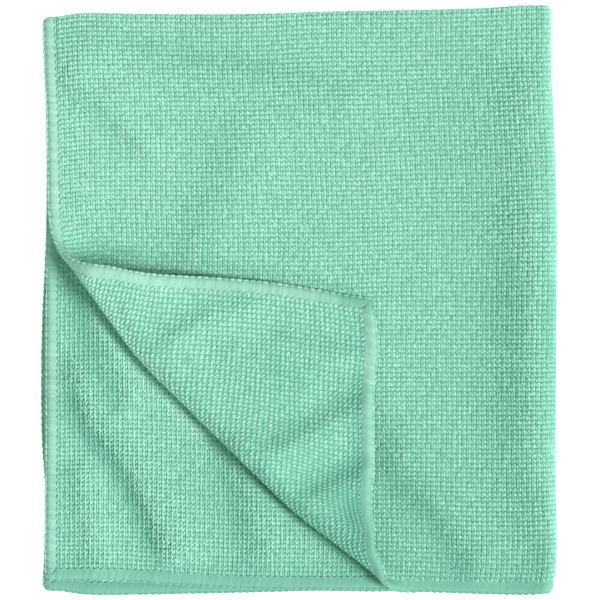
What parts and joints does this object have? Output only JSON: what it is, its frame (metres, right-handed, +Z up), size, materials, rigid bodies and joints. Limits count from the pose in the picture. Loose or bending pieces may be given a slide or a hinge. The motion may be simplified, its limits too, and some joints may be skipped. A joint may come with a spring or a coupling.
{
  "type": "folded microfibre cloth",
  "caption": "Knitted microfibre cleaning cloth with an overlocked hem, folded in quarters and lying flat, one corner of the top layer turned back.",
  "frame": {"origin": "on the surface that the cloth lies on, under the middle of its outline", "axes": "+Z up from the surface, +Y towards the top fold, +X towards the right fold"},
  "size_m": [0.1615, 0.1847, 0.0209],
  "materials": {
    "knit": "mint-green knitted microfibre, matt with a soft sheen",
    "hem_thread": "mint-green overlock thread, soft and slightly silky"
  },
  "bodies": {
    "root": {"cloth": "knit"}
  },
  "joints": []
}
